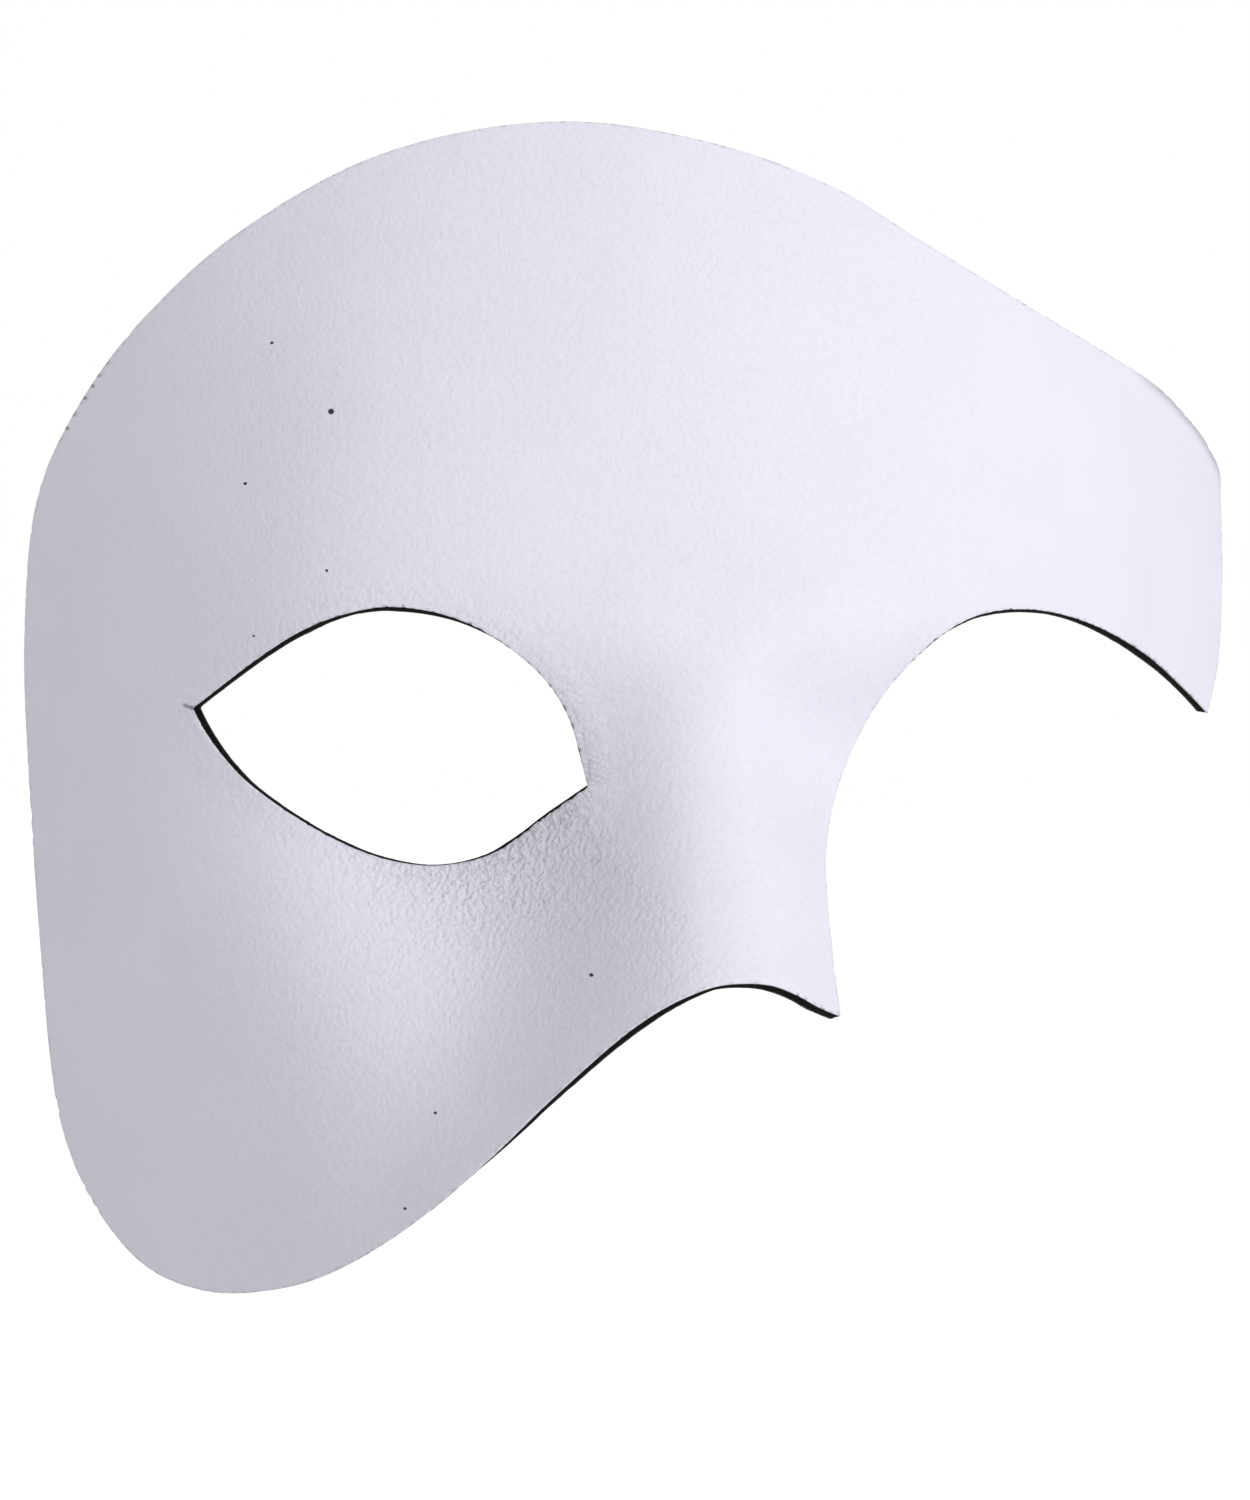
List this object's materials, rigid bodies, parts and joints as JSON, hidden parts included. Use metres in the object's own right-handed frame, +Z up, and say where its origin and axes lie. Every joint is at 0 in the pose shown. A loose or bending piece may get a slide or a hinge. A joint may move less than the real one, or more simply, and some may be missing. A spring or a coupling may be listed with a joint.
{
  "type": "half-face masquerade mask",
  "caption": "White leatherette half-face masquerade mask with an eye hole, an open arch over the other eye and an adjustable elastic head strap.",
  "frame": {"origin": "centre of the strap's inner face, where it rests on the back of the head", "axes": "-Y is the way the mask looks, +Z is up and +X is the wearer's left"},
  "size_m": [0.1786, 0.1006, 0.1662],
  "materials": {
    "leatherette": "matt fine-grain white PU leatherette",
    "foam": "matt cut EVA foam",
    "lining": "brushed black knit",
    "elastic": "woven black elastic",
    "thread": "black polyester thread",
    "plastic": "moulded black acetal"
  },
  "bodies": {
    "mask": {"skin": "leatherette", "foam_core": "foam", "lining": "lining", "tab_patch": "lining", "band_patch": "lining", "tab_end": "elastic", "band_end": "elastic"},
    "strap": {"tab_loop": "elastic", "tab_stitch": "thread", "band": "elastic", "band_return": "elastic"},
    "ring": {"ring": "plastic"},
    "slider": {"slider": "plastic", "slider_loop": "elastic", "slider_stitch": "thread"}
  },
  "joints": [
    {"name": "strap_swing", "type": "hinge", "parent": "mask", "child": "strap", "pos_m": [0, -0.014, 0], "axis": [1, 0, 0], "range_deg": [-60, 60], "stiffness_Nm_per_rad": 0.01},
    {"name": "ring_turn", "type": "hinge", "parent": "strap", "child": "ring", "pos_m": [-0.032, 0.0026, 0], "axis": [0, 0, 1], "range_deg": [-6, 6]},
    {"name": "slider_slide", "type": "slide", "parent": "strap", "child": "slider", "axis": [1, 0, 0], "range_m": [-0.004, 0.03], "deforming": ["band_return"]}
  ]
}
